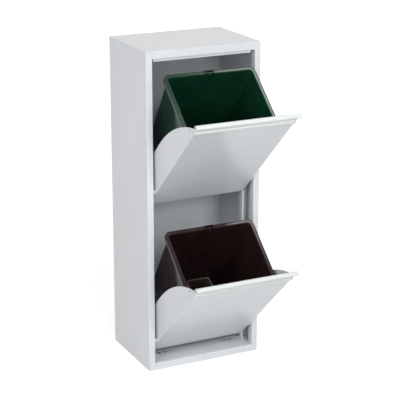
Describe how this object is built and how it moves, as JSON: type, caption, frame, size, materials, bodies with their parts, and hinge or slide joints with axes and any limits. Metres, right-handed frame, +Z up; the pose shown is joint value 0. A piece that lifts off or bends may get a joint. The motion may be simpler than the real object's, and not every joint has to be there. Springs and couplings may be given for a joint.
{
  "type": "double recycling bin",
  "caption": "Tall slim steel cabinet with tilting doors, one above the other, each carrying a lift-out plastic bucket with a flanged rim; a small caddy hangs in the lower bucket.",
  "frame": {"origin": "on the floor, midway between the sides, in the vertical plane of the door pivots (10 mm behind the front face)", "axes": "+X to the right seen from the front, +Y to the back, +Z up; the doors face -Y"},
  "size_m": [0.35, 0.5229, 0.93],
  "materials": {
    "white_powder_coat": "satin powder coat",
    "handle_lacquer": "smooth gloss lacquer on an extruded profile",
    "green_plastic": "injection moulded polypropylene, glossy",
    "brown_plastic": "injection moulded polypropylene, glossy",
    "caddy_plastic": "injection moulded polypropylene, glossy",
    "bush_nylon": "natural nylon",
    "pin_steel": "turned steel",
    "zinc_plate": "zinc plated steel",
    "screw_steel": "stainless steel",
    "rivet_aluminium": "bare aluminium"
  },
  "bodies": {
    "cabinet": {"back_panel": "white_powder_coat", "back_panel_rivets": "rivet_aluminium", "base_panel": "white_powder_coat", "left_side_panel": "white_powder_coat", "lower_left_pivot_pin": "pin_steel", "lower_left_stop_bracket": "white_powder_coat", "lower_right_pivot_pin": "pin_steel", "lower_right_stop_bracket": "white_powder_coat", "right_side_panel": "white_powder_coat", "top_panel": "white_powder_coat", "top_stop_strip": "white_powder_coat", "upper_left_pivot_pin": "pin_steel", "upper_left_stop_bracket": "white_powder_coat", "upper_right_pivot_pin": "pin_steel", "upper_right_stop_bracket": "white_powder_coat"},
    "upper_door": {"upper_bucket_shelf": "white_powder_coat", "upper_door_shell": "white_powder_coat", "upper_handle": "handle_lacquer", "upper_handle_brackets": "zinc_plate", "upper_handle_screws": "screw_steel", "upper_left_bush": "bush_nylon", "upper_right_bush": "bush_nylon", "upper_shelf_rivets": "rivet_aluminium", "upper_stop_studs": "zinc_plate"},
    "lower_door": {"lower_bucket_shelf": "white_powder_coat", "lower_door_shell": "white_powder_coat", "lower_handle": "handle_lacquer", "lower_handle_brackets": "zinc_plate", "lower_handle_screws": "screw_steel", "lower_left_bush": "bush_nylon", "lower_right_bush": "bush_nylon", "lower_shelf_rivets": "rivet_aluminium", "lower_stop_studs": "zinc_plate"},
    "upper_bucket": {"upper_bucket": "green_plastic"},
    "lower_bucket": {"lower_bucket": "brown_plastic"},
    "caddy": {"lower_caddy": "caddy_plastic"}
  },
  "joints": [
    {"name": "upper_door_hinge", "type": "hinge", "parent": "cabinet", "child": "upper_door", "pos_m": [0, 0, 0.5335], "axis": [1, 0, 0], "range_deg": [-47, 0]},
    {"name": "lower_door_hinge", "type": "hinge", "parent": "cabinet", "child": "lower_door", "pos_m": [0, 0, 0.0895], "axis": [1, 0, 0], "range_deg": [-47, 0]},
    {"name": "upper_bucket_lift", "type": "slide", "parent": "upper_door", "child": "upper_bucket", "axis": [0, -0.6587, 0.7524], "range_m": [0, 0.06]},
    {"name": "lower_bucket_lift", "type": "slide", "parent": "lower_door", "child": "lower_bucket", "axis": [0, -0.6587, 0.7524], "range_m": [0, 0.06]},
    {"name": "caddy_lift", "type": "slide", "parent": "lower_bucket", "child": "caddy", "axis": [0, -0.6587, 0.7524], "range_m": [0, 0.03]}
  ]
}
